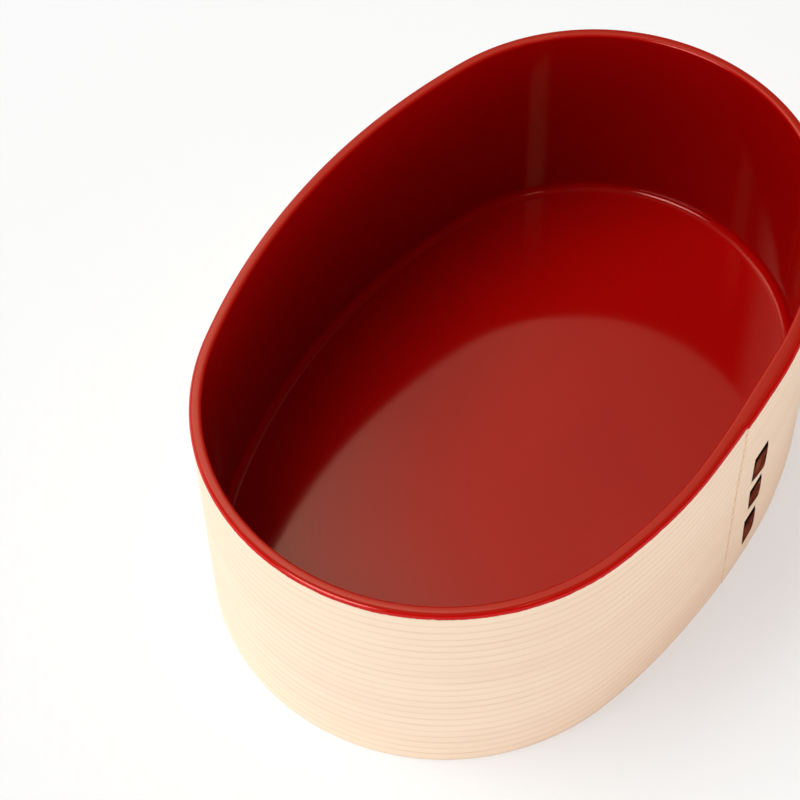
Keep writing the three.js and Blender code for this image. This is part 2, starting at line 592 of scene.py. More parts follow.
class Effect:
    """A shader node group with named inputs and outputs."""

    def __init__(self, name: str, takes: dict[str, float | None], gives: tuple[str, ...]) -> None:
        """Makes the group and its sockets.

        Args:
            name: The group's name.
            takes: Its inputs, each with its default, or with None for a vector.
            gives: The names of its outputs.
        """
        self.tree = bpy.data.node_groups.new(name, "ShaderNodeTree")
        for title, value in takes.items():
            kind = "NodeSocketVector" if value is None else "NodeSocketFloat"
            socket = self.tree.interface.new_socket(title, in_out="INPUT", socket_type=kind)
            if value is not None:
                socket.default_value = value
        for title in gives:
            self.tree.interface.new_socket(title, in_out="OUTPUT", socket_type="NodeSocketFloat")
        self.bench = NodeBench(self.tree)
        self.inputs = self.tree.nodes.new("NodeGroupInput").outputs
        self.results = self.tree.nodes.new("NodeGroupOutput").inputs

    def give(self, **values: bpy.types.NodeSocket) -> "Effect":
        """Links the results.

        Args:
            **values: What each output gives, by its name.

        Returns:
            The effect itself.
        """
        for title, value in values.items():
            self.bench.feed(self.results[title], value)
        return self

    def place(self, bench: NodeBench, inputs: dict) -> bpy.types.Node:
        """Places the group in a material with its own values.

        Args:
            bench: The material's bench.
            inputs: What each of the group's inputs is given.

        Returns:
            The group's node.
        """
        node = bench.add("ShaderNodeGroup", node_tree=self.tree)
        for title, value in inputs.items():
            bench.feed(node.inputs[title], value)
        return node


@dataclass(frozen=True)
class GrowthLines:
    """The straight grain of quarter-sawn cedar: how its lines bend, bunch and fade.

    Bend, force, fibre and tone say how often each pattern changes to the metre along the grain and
    across it. The force goes by the ring instead of across. A line's force is its strength.
    """

    spacing: float = 2 * MM
    wander: float = 1.5 * MM
    bend: Pair = (9.0, 22.0)
    bunch_scale: float = 0.31
    bunch: float = 0.6
    sharpness: float = 5.0
    force: Pair = (26.0, 0.9)
    force_reach: Pair = (0.3, 0.7)
    force_share: Pair = (0.45, 1.0)
    fibre: Pair = (55.0, 2300.0)
    fibre_detail: Pair = (3.0, 0.6)
    tone: Pair = (11.0, 70.0)

    def make(self) -> Effect:
        """Makes the group.

        Returns:
            A group that reads a place in metres, along the grain in X and across it in Y, and gives
            the growth lines, the fibres between them and a slow change of tone.
        """
        takes = {"Vector": None, "Spacing": self.spacing, "Wander": self.wander, "Seed": 0.0}
        effect = Effect("growth_lines", takes, ("Line", "Fibre", "Tone"))
        bench = effect.bench
        along, across, _ = bench.split(effect.inputs["Vector"])
        spacing, seed = effect.inputs["Spacing"], effect.inputs["Seed"]

        slow = bench.noise(bench.scaled(along, self.bend[0], across, self.bend[1], seed), 1.0)
        drift = bench.sum("SUBTRACT", slow, 0.5)
        bent = bench.sum("MULTIPLY_ADD", drift, effect.inputs["Wander"], across)
        rings = bench.sum("DIVIDE", bent, spacing)
        bunched_at = bench.vector(seed, bench.sum("MULTIPLY", rings, self.bunch_scale), 0.0)
        phase = bench.sum("MULTIPLY_ADD", bench.noise(bunched_at, 1.0), self.bunch, rings)
        wave = bench.sum("MULTIPLY", bench.sum("PINGPONG", phase, 0.5), 2.0)
        line = bench.sum("POWER", wave, self.sharpness)
        force = bench.noise(bench.scaled(along, self.force[0], rings, self.force[1], seed), 1.0)
        strength = bench.spread(force, *self.force_reach, self.force_share)
        fibre_at = bench.scaled(along, self.fibre[0], across, self.fibre[1], seed)
        fibre = bench.noise(fibre_at, 1.0, *self.fibre_detail)
        tone = bench.noise(bench.scaled(along, self.tone[0], across, self.tone[1], seed), 1.0)
        line = bench.sum("MULTIPLY", line, strength)
        return effect.give(Line=line, Fibre=fibre, Tone=tone)


@dataclass(frozen=True)
class FilmRipple:
    """The faint unevenness of a brushed coat, and the specks of dust that dried into it.

    A broad ripple goes under the fine one, and a share of the cells has no speck.
    """

    ripple: float = 4 * MM
    speck: float = 9 * MM
    rarity: float = 0.05
    broad_scale: float = 0.22
    broad_height: float = 2.4
    detail: Pair = (1.0, 0.4)
    bare_cells: float = 0.6
    speck_height: float = 0.4

    def make(self) -> Effect:
        """Makes the group.

        Returns:
            A group that reads a place in metres and gives a height for the bump and the specks.
        """
        takes = {"Vector": None, "Ripple": self.ripple, "Speck": self.speck, "Rarity": self.rarity}
        effect = Effect("film_ripple", takes, ("Height", "Speck"))
        bench = effect.bench
        place = effect.inputs["Vector"]
        scale = bench.sum("DIVIDE", 1.0, effect.inputs["Ripple"])
        ripple = bench.noise(place, scale, *self.detail)
        broad_scale = bench.sum("MULTIPLY", scale, self.broad_scale)
        broad = bench.noise(place, broad_scale, *self.detail)
        cell_scale = bench.sum("DIVIDE", 1.0, effect.inputs["Speck"])
        inputs = {"Vector": place, "Scale": cell_scale}
        cells = bench.add("ShaderNodeTexVoronoi", inputs, feature="F1")
        chosen = bench.sum("GREATER_THAN", bench.split(cells.outputs["Color"])[0], self.bare_cells)
        near = bench.spread(cells.outputs["Distance"], effect.inputs["Rarity"], 0.0)
        speck = bench.sum("MULTIPLY", near, chosen)
        height = bench.sum("MULTIPLY_ADD", broad, self.broad_height, ripple)
        height = bench.sum("MULTIPLY_ADD", speck, self.speck_height, height)
        return effect.give(Height=height, Speck=speck)


@dataclass(frozen=True)
class Mottle:
    """A soft uneven patch pattern, used for tone on every finish."""

    patch: float = 20 * MM
    edge: float = 0.25
    detail: Pair = (3.0, 0.55)

    def make(self) -> Effect:
        """Makes the group.

        Returns:
            A group that reads a place in metres and gives a value from 0 to 1.
        """
        takes = {"Vector": None, "Patch": self.patch, "Edge": self.edge}
        effect = Effect("mottle", takes, ("Value",))
        bench = effect.bench
        scale = bench.sum("DIVIDE", 1.0, effect.inputs["Patch"])
        cloud = bench.noise(effect.inputs["Vector"], scale, *self.detail)
        low = bench.sum("SUBTRACT", 0.5, effect.inputs["Edge"])
        high = bench.sum("ADD", 0.5, effect.inputs["Edge"])
        return effect.give(Value=bench.spread(cloud, low, high))


class Effects:
    """The shader effects, each built once and placed in the finishes that use it."""

    def __init__(self) -> None:
        """Builds the groups."""
        self.grain = GrowthLines().make()
        self.film = FilmRipple().make()
        self.mottle = Mottle().make()


@dataclass(frozen=True)
class Finish:
    """What every finish shares: its name, its roughness and how it starts.

    In the finishes a reach is the two values between which a pattern comes in, and the share of the
    same name is its strength at each. A patch is a size and how soft its edge is. A detail is how
    many finer layers a noise has and how strong they are. A relief is a bump's strength and
    distance.
    """

    name: str
    effects: Effects
    roughness: float = 0.5

    def start(self) -> tuple[bpy.types.Material, NodeBench, bpy.types.Node]:
        """Makes the material.

        Returns:
            The material, its bench and its shader node.
        """
        material = bpy.data.materials.new(self.name)
        material.use_nodes = True
        bench = NodeBench(material.node_tree)
        shader = material.node_tree.nodes["Principled BSDF"]
        shader.inputs["Roughness"].default_value = self.roughness
        return material, bench, shader

    def object_place(self, bench: NodeBench) -> bpy.types.NodeSocket:
        """Reads the place on the piece, in metres."""
        return bench.add("ShaderNodeTexCoord").outputs["Object"]

    def patches(
        self, bench: NodeBench, place: bpy.types.NodeSocket, patch: float, edge: float
    ) -> bpy.types.NodeSocket:
        """Lays the mottle over the piece.

        Args:
            bench: The material's bench.
            place: The place on the piece.
            patch: The size of a patch.
            edge: How soft its edge is.

        Returns:
            The mottle's value.
        """
        inputs = {"Vector": place, "Patch": patch, "Edge": edge}
        return self.effects.mottle.place(bench, inputs).outputs["Value"]


@dataclass(frozen=True)
class CedarFinish(Finish):
    """Pale straight-grained cedar under a thin clear coat, with the seam's mark on the plank."""

    pale: Colour = (0.95, 0.795, 0.605, 1)
    line: Colour = (0.76, 0.56, 0.38, 1)
    deep: Colour = (0.88, 0.70, 0.51, 1)
    spacing: float = 2.8 * MM
    wander: float = 1.1 * MM
    line_share: float = 0.85
    seed: float = 0.0
    chart: str | None = None
    perimeter: float = 0.0
    tone_reach: Pair = (0.35, 0.75)
    tone_share: Pair = (0.0, 0.55)
    fibre_reach: Pair = (0.45, 0.8)
    fibre_share: Pair = (0.0, 0.35)
    patch: Pair = (30 * MM, 0.2)
    patch_share: float = 0.1
    fibre_height: float = 0.35
    line_height: float = -0.6
    fibre_haze: float = 0.18
    relief: Pair = (0.35, 0.05 * MM)
    seam_lead: float = 0.3 * MM
    seam_width: Pair = (0.42 * MM, 0.05 * MM)
    seam_height: float = 0.5
    bead_scale: float = 560.0
    bead_detail: Pair = (3.0, 0.7)
    bead_reach: Pair = (0.42, 0.62)
    bead_share: Pair = (0.05, 0.75)
    foot_reach: Pair = (4 * MM, 30 * MM)
    foot_share: Pair = (0.35, 1.0)

    def read_place(self, bench: NodeBench) -> bpy.types.NodeSocket:
        """Reads the place along and across the grain.

        Args:
            bench: The material's bench.

        Returns:
            The place on the piece's chart, or on the piece itself where it has none.
        """
        if self.chart:
            return bench.add("ShaderNodeUVMap", uv_map=self.chart).outputs["UV"]
        return self.object_place(bench)

    def seam_mark(self, bench: NodeBench, place: bpy.types.NodeSocket) -> bpy.types.NodeSocket:
        """Marks the seam, where glue and end grain show as a broken tan line.

        Args:
            bench: The material's bench.
            place: The place on the plank's chart.

        Returns:
            The mark's strength.
        """
        along, height, _ = bench.split(place)
        off = bench.sum("ABSOLUTE", bench.sum("SUBTRACT", self.perimeter - self.seam_lead, along))
        band = bench.spread(off, *self.seam_width)
        beads = bench.noise(bench.vector(0.0, height, 0.0), self.bead_scale, *self.bead_detail)
        broken = bench.spread(beads, *self.bead_reach, self.bead_share)
        faded = bench.spread(height, *self.foot_reach, self.foot_share)
        return bench.sum("MULTIPLY", band, bench.sum("MULTIPLY", broken, faded))

    def make(self) -> bpy.types.Material:
        """Builds the material.

        Returns:
            The material.
        """
        material, bench, shader = self.start()
        place = self.read_place(bench)
        grain = self.effects.grain.place(
            bench,
            {"Vector": place, "Spacing": self.spacing, "Wander": self.wander, "Seed": self.seed},
        )
        fibre = grain.outputs["Fibre"]
        tone = bench.spread(grain.outputs["Tone"], *self.tone_reach, self.tone_share)
        base = bench.blend(tone, self.pale, self.deep)
        fibre_tone = bench.spread(fibre, *self.fibre_reach, self.fibre_share)
        fibred = bench.blend(fibre_tone, base, self.deep)
        line = bench.sum("MULTIPLY", grain.outputs["Line"], self.line_share)
        lined = bench.blend(line, fibred, self.line)
        patch = bench.sum("MULTIPLY", self.patches(bench, place, *self.patch), self.patch_share)
        toned = bench.blend(patch, lined, self.deep)
        sunk = bench.sum("MULTIPLY", line, self.line_height)
        height = bench.sum("MULTIPLY_ADD", fibre, self.fibre_height, sunk)
        if self.chart:
            mark = self.seam_mark(bench, place)
            toned = bench.blend(mark, toned, self.line)
            height = bench.sum("MULTIPLY_ADD", mark, self.seam_height, height)
        bench.feed(shader.inputs["Base Color"], toned)
        least = self.roughness - self.fibre_haze / 2
        rough = bench.sum("MULTIPLY_ADD", fibre, self.fibre_haze, least)
        bench.feed(shader.inputs["Roughness"], rough)
        bench.feed(shader.inputs["Normal"], bench.bump(*self.relief, height))
        return material


@dataclass(frozen=True)
class BarkFinish(Finish):
    """Polished cherry bark: dark red brown with paler streaks across the strip, darkened by painted
    shade where it sinks into its slits.
    """

    dark: Colour = (0.07, 0.014, 0.007, 1)
    warm: Colour = (0.20, 0.045, 0.020, 1)
    streak: Colour = (0.50, 0.17, 0.11, 1)
    # Painted shade: the near-black that the strip takes where it sinks into its slits.
    slit_shade: Colour = (0.006, 0.002, 0.001, 1)
    mirror: float = 0.0
    chart: str = "strip"
    lenticel_scale: Pair = (240.0, 950.0)
    lenticel_seed: float = 3.0
    lenticel_detail: Pair = (2.0, 0.6)
    streak_reach: Pair = (0.54, 0.72)
    streak_share: Pair = (0.0, 0.8)
    patch: Pair = (5 * MM, 0.16)
    haze: Pair = (0.25, -0.1)
    relief: Pair = (0.5, 0.06 * MM)

    def make(self) -> bpy.types.Material:
        """Builds the material.

        Returns:
            The material.
        """
        material, bench, shader = self.start()
        place = bench.add("ShaderNodeUVMap", uv_map=self.chart).outputs["UV"]
        across, along, _ = bench.split(place)
        across_scale, along_scale = self.lenticel_scale
        streak_at = bench.scaled(across, across_scale, along, along_scale, self.lenticel_seed)
        lenticel = bench.noise(streak_at, 1.0, *self.lenticel_detail)
        base = bench.blend(self.patches(bench, place, *self.patch), self.dark, self.warm)
        share = bench.spread(lenticel, *self.streak_reach, self.streak_share)
        streaked = bench.blend(share, base, self.streak)
        # Painted shade: the colour goes near black where the strip sinks below the face into its
        # slits.
        slit_shaded = bench.add("ShaderNodeAttribute", attribute_name=SLIT_SHADE_MASK).outputs["Fac"]
        bench.feed(shader.inputs["Base Color"], bench.blend(slit_shaded, streaked, self.slit_shade))
        gain, offset = self.haze
        rough = bench.sum("MULTIPLY_ADD", lenticel, gain, self.roughness + offset)
        bench.feed(shader.inputs["Roughness"], rough)
        shader.inputs["Specular IOR Level"].default_value = self.mirror
        bench.feed(shader.inputs["Normal"], bench.bump(*self.relief, lenticel))
        return material


@dataclass(frozen=True)
class PuttyFinish(Finish):
    """Brown lacquer putty, troweled into the corner under the coat."""

    roughness: float = 0.75
    brown: Colour = (0.13, 0.07, 0.045, 1)
    ochre: Colour = (0.22, 0.13, 0.08, 1)
    grain: Pair = (1.2 * MM, 0.2)
    haze: float = 0.1
    relief: Pair = (0.4, 0.05 * MM)

    def make(self) -> bpy.types.Material:
        """Builds the material.

        Returns:
            The material.
        """
        material, bench, shader = self.start()
        place = self.object_place(bench)
        grit = self.patches(bench, place, *self.grain)
        bench.feed(shader.inputs["Base Color"], bench.blend(grit, self.brown, self.ochre))
        rough = bench.sum("MULTIPLY_ADD", grit, self.haze, self.roughness)
        bench.feed(shader.inputs["Roughness"], rough)
        bench.feed(shader.inputs["Normal"], bench.bump(*self.relief, grit))
        return material


@dataclass(frozen=True)
class LacquerFinish(Finish):
    """Glossy red lacquer, brushed on in thin coats.

    Painted shade darkens it on the inside wall between the four wall shade heights. Painted light and
    sheen make it paler on the level rim, and painted light makes its brushed edge a brighter red. It
    is dull at its brushed edge below the haze heights.
    """

    roughness: float = 0.065
    red: Colour = (0.42, 0.002, 0.001, 1)
    deep: Colour = (0.385, 0.0015, 0.001, 1)
    # Painted shade: the darker red of the inside wall.
    wall_shade: Colour = (0.30, 0.0005, 0.0005, 1)
    wall_shade_heights: tuple[float, float, float, float] = (9 * MM, 13 * MM, 65.3 * MM, 66.2 * MM)
    mirror: float = 0.4
    edge_haze: float = 0.85
    haze_heights: Pair = (65.95 * MM, 65.7 * MM)
    # Painted light and sheen: the paler, hazier red of the level rim top.
    rim_top_light: Colour = (0.43, 0.013, 0.006, 1)
    rim_light_heights: Pair = (66.05 * MM, 66.4 * MM)
    # Painted light: the brighter red that the brushed outer edge takes for the light on the rounding.
    edge: Colour = (0.54, 0.003, 0.002, 1)
    worn: Colour = (0.60, 0.05, 0.03, 1)
    ripple: float = 3.5 * MM
    speck: float = 24 * MM
    rarity: float = 0.012
    patch: Pair = (45 * MM, 0.3)
    patch_haze: float = 0.03
    relief: Pair = (0.25, 0.02 * MM)

    def make(self) -> bpy.types.Material:
        """Builds the material.

        Returns:
            The material.
        """
        material, bench, shader = self.start()
        place = self.object_place(bench)
        inputs = {
            "Vector": place,
            "Ripple": self.ripple,
            "Speck": self.speck,
            "Rarity": self.rarity,
        }
        film = self.effects.film.place(bench, inputs)
        tone = self.patches(bench, place, *self.patch)
        base = bench.blend(tone, self.red, self.deep)
        height = bench.split(place)[2]
        # Painted shade darkens the inside wall between these heights.
        low, low_full, high_full, high = self.wall_shade_heights
        below = bench.spread(height, high, high_full)
        wall_shade_share = bench.sum("MULTIPLY", bench.spread(height, low, low_full), below)
        wall_shaded = bench.blend(wall_shade_share, base, self.wall_shade)
        # Painted light and sheen pale the level rim top.
        rim_lit = bench.blend(bench.spread(height, *self.rim_light_heights), wall_shaded, self.rim_top_light)
        # The brushed edge mask dulls the film there and brightens its red as painted light.
        brushed_and_lit = bench.add("ShaderNodeAttribute", attribute_name=BRUSHED_LIT_EDGE).outputs["Fac"]
        edge_lit = bench.blend(brushed_and_lit, rim_lit, self.edge)
        colour = bench.blend(film.outputs["Speck"], edge_lit, self.worn)
        bench.feed(shader.inputs["Base Color"], colour)
        shader.inputs["Specular IOR Level"].default_value = self.mirror
        haze = bench.sum("MULTIPLY_ADD", tone, self.patch_haze, self.roughness)
        dulled = bench.sum("MULTIPLY", brushed_and_lit, bench.spread(height, *self.haze_heights))
        rough = bench.sum("MULTIPLY_ADD", dulled, self.edge_haze, haze)
        bench.feed(shader.inputs["Roughness"], rough)
        bench.feed(shader.inputs["Normal"], bench.bump(*self.relief, film.outputs["Height"]))
        return material


# Pieces


@dataclass
class Piece:
    """What every piece shares: its name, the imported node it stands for, its slot and its finish."""

    name: str
    node: str
    slot: Slot
    finish: Finish
    smooth_angle: float = math.radians(38)

    def build(self, bm: bmesh.types.BMesh) -> None:
        """Makes the piece's mesh; each piece has its own way."""
        raise NotImplementedError

    def finish_object(self) -> None:
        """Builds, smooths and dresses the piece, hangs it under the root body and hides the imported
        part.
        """
        bm = bmesh.new()
        self.build(bm)
        mesh = bpy.data.meshes.new(self.name)
        bm.to_mesh(mesh)
        bm.free()
        mesh.shade_smooth()
        mesh.set_sharp_from_angle(angle=self.smooth_angle)
        mesh.materials.append(self.finish.make())
        piece = bpy.data.objects.new(self.name, mesh)
        bpy.context.scene.collection.objects.link(piece)
        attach(piece, "root")
        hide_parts(self.node)
        log.info("%s: %d faces", self.name, len(mesh.polygons))


def even_levels(low: float, high: float, pitch: float) -> list[float]:
    """Lists the heights between two others, both left out, at about an even pitch."""
    count = max(1, round((high - low) / pitch))
    return [low + (high - low) * step / count for step in range(1, count)]


def write_chart(bm: bmesh.types.BMesh, name: str, chart: Callable[[Vector], Pair]) -> None:
    """Writes a piece's chart: each corner's way round from the seam and its height, in metres.

    Args:
        bm: The mesh.
        name: The chart's name.
        chart: Gives a point's turn from the seam and its height.
    """
    layer = bm.loops.layers.uv.new(name)
    places = {vert: chart(vert.co) for vert in bm.verts}
    for face in bm.faces:
        middle = chart(face.calc_center_median())[0]
        for loop in face.loops:
            turn, height = places[loop.vert]
            extra = 0.0
            if turn - middle > math.pi:
                turn = OVAL.seam
            elif middle - turn > math.pi:
                extra, turn = OVAL.along(OVAL.seam + FULL_TURN), OVAL.seam
            loop[layer].uv = (OVAL.along(turn) + extra, height)


@dataclass(frozen=True)
class Stitch:
    """One span of the lacing that shows, by the corners of its bed, each along the box and up."""

    head_left: Pair
    head_right: Pair
    foot_right: Pair
    foot_left: Pair

    @property
    def corners(self) -> tuple[Pair, ...]:
        """The bed's corners in order."""
        return self.head_left, self.head_right, self.foot_right, self.foot_left


def stitch(*millimetres: Pair) -> Stitch:
    """Makes a stitch from its corners in millimetres, clockwise from the upper left."""
    return Stitch(*(tuple(value * MM for value in corner) for corner in millimetres))


STITCHES = (
    stitch((3.1, 17.3), (8.8, 17.6), (8.9, 6.8), (3.85, 5.3)),
    stitch((3.35, 30.0), (9.4, 30.6), (9.4, 20.4), (3.95, 21.3)),
    stitch((3.25, 43.5), (10.0, 43.6), (10.0, 31.9), (3.2, 33.7)),
)
SLIT_ENDS = (
    stitch((2.6, 34.3), (4.1, 33.9), (4.1, 33.4), (2.6, 33.8)),
)


@dataclass
class SideBand(Piece):
    """The bent plank: its section swept round, the lap's step and swell, and the bark's beds.

    The beds are cut only into nearby faces whose normals point along -Y by more than outward.
    """

    plank: float = 2.4 * MM
    top: float = 66.2 * MM
    rim_round: float = 1 * MM
    inner_round: float = 0.35 * MM
    base_round: float = 0.5 * MM
    level_pitch: float = 1.5 * MM
    pitch: float = 1.2 * MM
    bed_depth: float = 1.5 * MM
    bed_search: float = 3 * MM
    outward: float = 0.7
    rim_steps: int = 5
    edge_steps: int = 3
    chart_name: str = "plank"

    def section(self) -> Profile:
        """Lists the plank's section, from its outer foot up, over and down the inside.

        Returns:
            The section's points.
        """
        shoulder = self.top - self.rim_round
        inner = self.inner_round
        rim, base = (self.rim_round,) * 2, (self.base_round,) * 2
        steps = self.edge_steps
        return [
            *arc_points((-self.base_round, self.base_round), base, -90, 0, steps),
            *((0.0, z) for z in even_levels(self.base_round, shoulder, self.level_pitch)),
            *arc_points((-self.rim_round, shoulder), rim, 0, 90, self.rim_steps),
            *arc_points((-self.plank + inner, self.top - inner), (inner, inner), 90, 180, steps),
            *arc_points((-self.plank + self.base_round, self.base_round), base, 180, 270, steps),
        ]

    def outer_faces(self, bm: bmesh.types.BMesh, stitched: Stitch) -> list[bmesh.types.BMFace]:
        """Picks the faces of the outer wall round one bed.

        Args:
            bm: The plank's mesh.
            stitched: The bed.

        Returns:
            The faces.
        """
        places, heights = zip(*stitched.corners)
        low_x, high_x = min(places) - self.bed_search, max(places) + self.bed_search
        low_z, high_z = min(heights) - self.bed_search, max(heights) + self.bed_search
        picked = []
        for face in bm.faces:
            if face.normal.y > -self.outward:
                continue
            middle = face.calc_center_median()
            if low_x < middle.x < high_x and low_z < middle.z < high_z:
                picked.append(face)
        return picked

    def score(self, bm: bmesh.types.BMesh, stitched: Stitch) -> None:
        """Cuts a bed's outline into the outer wall.

        Args:
            bm: The plank's mesh.
            stitched: The bed.
        """
        corners = stitched.corners
        for start, end in zip(corners, corners[1:] + corners[:1]):
            faces = self.outer_faces(bm, stitched)
            edges = {edge for face in faces for edge in face.edges}
            verts = {vert for face in faces for vert in face.verts}
            bmesh.ops.bisect_plane(
                bm,
                geom=[*faces, *edges, *verts],
                dist=MERGE,
                plane_co=(start[0], 0, start[1]),
                plane_no=(end[1] - start[1], 0, start[0] - end[0]),
            )
            bm.normal_update()

    def is_inside(self, face: bmesh.types.BMFace, stitched: Stitch) -> bool:
        """Tells whether a face of the outer wall lies in a bed.

        Args:
            face: The face.
            stitched: The bed.

        Returns:
            Whether the face's middle is inside the bed's outline.
        """
        middle = face.calc_center_median()
        corners = stitched.corners
        for start, end in zip(corners, corners[1:] + corners[:1]):
            across = (end[0] - start[0]) * (middle.z - start[1])
            if across - (end[1] - start[1]) * (middle.x - start[0]) > 0:
                return False
        return True

    def sink_beds(self, bm: bmesh.types.BMesh) -> None:
        """Sinks the beds and slits that the bark lies in.

        Args:
            bm: The plank's mesh.
        """
        cuts = STITCHES + SLIT_ENDS
        for stitched in cuts:
            self.score(bm, stitched)
        beds = [
            face
            for stitched in cuts
            for face in self.outer_faces(bm, stitched)
            if self.is_inside(face, stitched)
        ]
        beds = list(dict.fromkeys(beds))
        sunk = bmesh.ops.extrude_face_region(bm, geom=beds)
        moved = [item for item in sunk["geom"] if isinstance(item, bmesh.types.BMVert)]
        bmesh.ops.translate(bm, verts=moved, vec=(0, self.bed_depth, 0))
        left = [face for face in beds if face.is_valid]
        bmesh.ops.delete(bm, geom=left, context="FACES")

    def build(self, bm: bmesh.types.BMesh) -> None:
        """Sweeps the plank, lays it over itself at the lap and sinks the beds.

        Args:
            bm: The mesh to fill.
        """
        OVAL.sweep(bm, self.section(), self.pitch, is_ring=True)
        for vert in bm.verts:
            vert.co = LAP.place(vert.co)
        bmesh.ops.recalc_face_normals(bm, faces=bm.faces)
        bm.normal_update()
        self.sink_beds(bm)
        bmesh.ops.recalc_face_normals(bm, faces=bm.faces)
        write_chart(bm, self.chart_name, LAP.chart)


@dataclass
class BottomBoard(Piece):
    """The flat board let into the plank, held up off the table."""

    recess: float = 3 * MM
    thickness: float = 5.2 * MM
    chamfer: float = 0.4 * MM
    edge: float = -2.5 * MM
    pitch: float = 1.6 * MM

    def build(self, bm: bmesh.types.BMesh) -> None:
        """Sweeps the board's edge and closes its two faces.

        Args:
            bm: The mesh to fill.
        """
        top = self.recess + self.thickness
        section = [
            (self.edge - self.chamfer, self.recess),
            (self.edge, self.recess + self.chamfer),
            (self.edge, top),
        ]
        OVAL.sweep(bm, section, self.pitch, is_ring=False)
        close_faces(bm, self.chamfer)


def close_faces(bm: bmesh.types.BMesh, border: float) -> None:
    """Closes a swept shell's open loops with flat faces, each set in by a border.

    Args:
        bm: The mesh.
        border: The width of the ring that keeps the flat face's shading flat.
    """
    rims = [edge for edge in bm.edges if edge.is_boundary]
    made = bmesh.ops.edgeloop_fill(bm, edges=rims)
    bmesh.ops.recalc_face_normals(bm, faces=bm.faces)
    bmesh.ops.inset_individual(bm, faces=made["faces"], thickness=border)


@dataclass
class CornerPutty(Piece):
    """The cove of putty between the board and the plank, under the lacquer."""

    plank: float = 2.4 * MM
    board_top: float = 8.2 * MM
    radius: float = 2.3 * MM
    centre: float = -4.7 * MM
    fit: float = 0.1 * MM
    pitch: float = 2.4 * MM
    cove_steps: int = 6

    def build(self, bm: bmesh.types.BMesh) -> None:
        """Sweeps the cove's section round.

        Args:
            bm: The mesh to fill.
        """
        toe = math.degrees(math.acos((self.radius - self.fit) / self.radius))
        middle = (self.centre, self.board_top + self.radius)
        section = [
            *arc_points(middle, (self.radius,) * 2, -toe, -90 + toe, self.cove_steps),
            (-self.plank - self.fit, self.board_top + self.fit),
        ]
        OVAL.sweep(bm, section, self.pitch, is_ring=True)
        bmesh.ops.recalc_face_normals(bm, faces=bm.faces)


